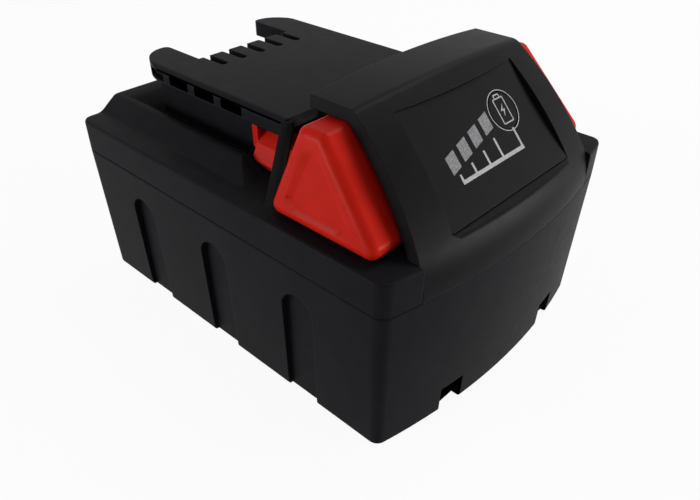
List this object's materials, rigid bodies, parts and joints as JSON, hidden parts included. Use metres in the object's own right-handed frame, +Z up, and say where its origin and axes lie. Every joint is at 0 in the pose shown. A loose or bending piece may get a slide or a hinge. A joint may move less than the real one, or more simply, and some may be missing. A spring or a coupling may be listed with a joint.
{
  "type": "power tool battery pack",
  "caption": "Slide-on battery pack for cordless tools: fluted case, rail tower with terminal slots, sloped charge gauge, and sprung red release buttons on both sides.",
  "frame": {"origin": "under the middle of the pack, on the surface that it stands on", "axes": "+Z up, -Y towards the gauge end, +Y the way in which the tool's rails come on, X across the pack"},
  "size_m": [0.0828, 0.111, 0.0699],
  "materials": {
    "case_plastic": "satin",
    "panel_plastic": "semi-gloss",
    "button_plastic": "semi-gloss",
    "spring_steel": "bright",
    "screw_steel": "satin",
    "carrier_plastic": "satin",
    "cell_wrap": "semi-gloss",
    "nickel": "satin",
    "insulation": "matt",
    "lead_metal": "satin",
    "sensor_resin": "satin",
    "circuit_board": "satin",
    "dark_component": "matt",
    "light_resin": "clear",
    "cable_plastic": "satin"
  },
  "bodies": {
    "case": {"lower_case": "case_plastic", "upper_case": "case_plastic", "front_fascia": "case_plastic", "gauge_panel": "panel_plastic", "left_button_spring": "spring_steel", "right_button_spring": "spring_steel", "case_screws": "screw_steel", "fascia_screws": "screw_steel", "board_screws": "screw_steel", "gauge_screws": "screw_steel", "left_cell_carrier": "carrier_plastic", "right_cell_carrier": "carrier_plastic", "main_socket": "carrier_plastic", "gauge_socket": "carrier_plastic", "cell_1": "cell_wrap", "cell_2": "cell_wrap", "cell_3": "cell_wrap", "cell_4": "cell_wrap", "cell_5": "cell_wrap", "cell_6": "cell_wrap", "cell_7": "cell_wrap", "cell_8": "cell_wrap", "cell_9": "cell_wrap", "cell_10": "cell_wrap", "left_bus_front": "nickel", "left_bus_middle": "nickel", "left_bus_rear": "nickel", "right_bus_front": "nickel", "right_bus_middle": "nickel", "right_bus_rear": "nickel", "terminal_1": "nickel", "terminal_2": "nickel", "terminal_3": "nickel", "terminal_4": "nickel", "terminal_5": "nickel", "left_insulator": "insulation", "right_insulator": "insulation", "negative_lead": "lead_metal", "positive_lead": "lead_metal", "sense_leads": "lead_metal", "temperature_sensor": "sensor_resin", "main_board": "circuit_board", "gauge_board": "circuit_board", "board_chips": "dark_component", "power_transistors": "dark_component", "terminal_block": "dark_component", "light_frame": "dark_component", "gauge_switch": "dark_component", "gauge_lights": "light_resin", "gauge_cable": "cable_plastic"},
    "left_button": {"left_release_button": "button_plastic"},
    "right_button": {"right_release_button": "button_plastic"},
    "gauge_key": {"gauge_button": "panel_plastic", "switch_plunger": "spring_steel"}
  },
  "joints": [
    {"name": "left_button_press", "type": "slide", "parent": "case", "child": "left_button", "axis": [1, 0, 0], "range_m": [0, 0.004], "stiffness_N_per_m": 800, "springref_m": -0.003, "deforming": ["left_button_spring"]},
    {"name": "right_button_press", "type": "slide", "parent": "case", "child": "right_button", "axis": [-1, 0, 0], "range_m": [0, 0.004], "stiffness_N_per_m": 800, "springref_m": -0.003, "deforming": ["right_button_spring"]},
    {"name": "gauge_button_press", "type": "slide", "parent": "case", "child": "gauge_key", "axis": [0, 0.729, -0.6845], "range_m": [0, 0.0004], "stiffness_N_per_m": 3000, "springref_m": -0.0003}
  ]
}
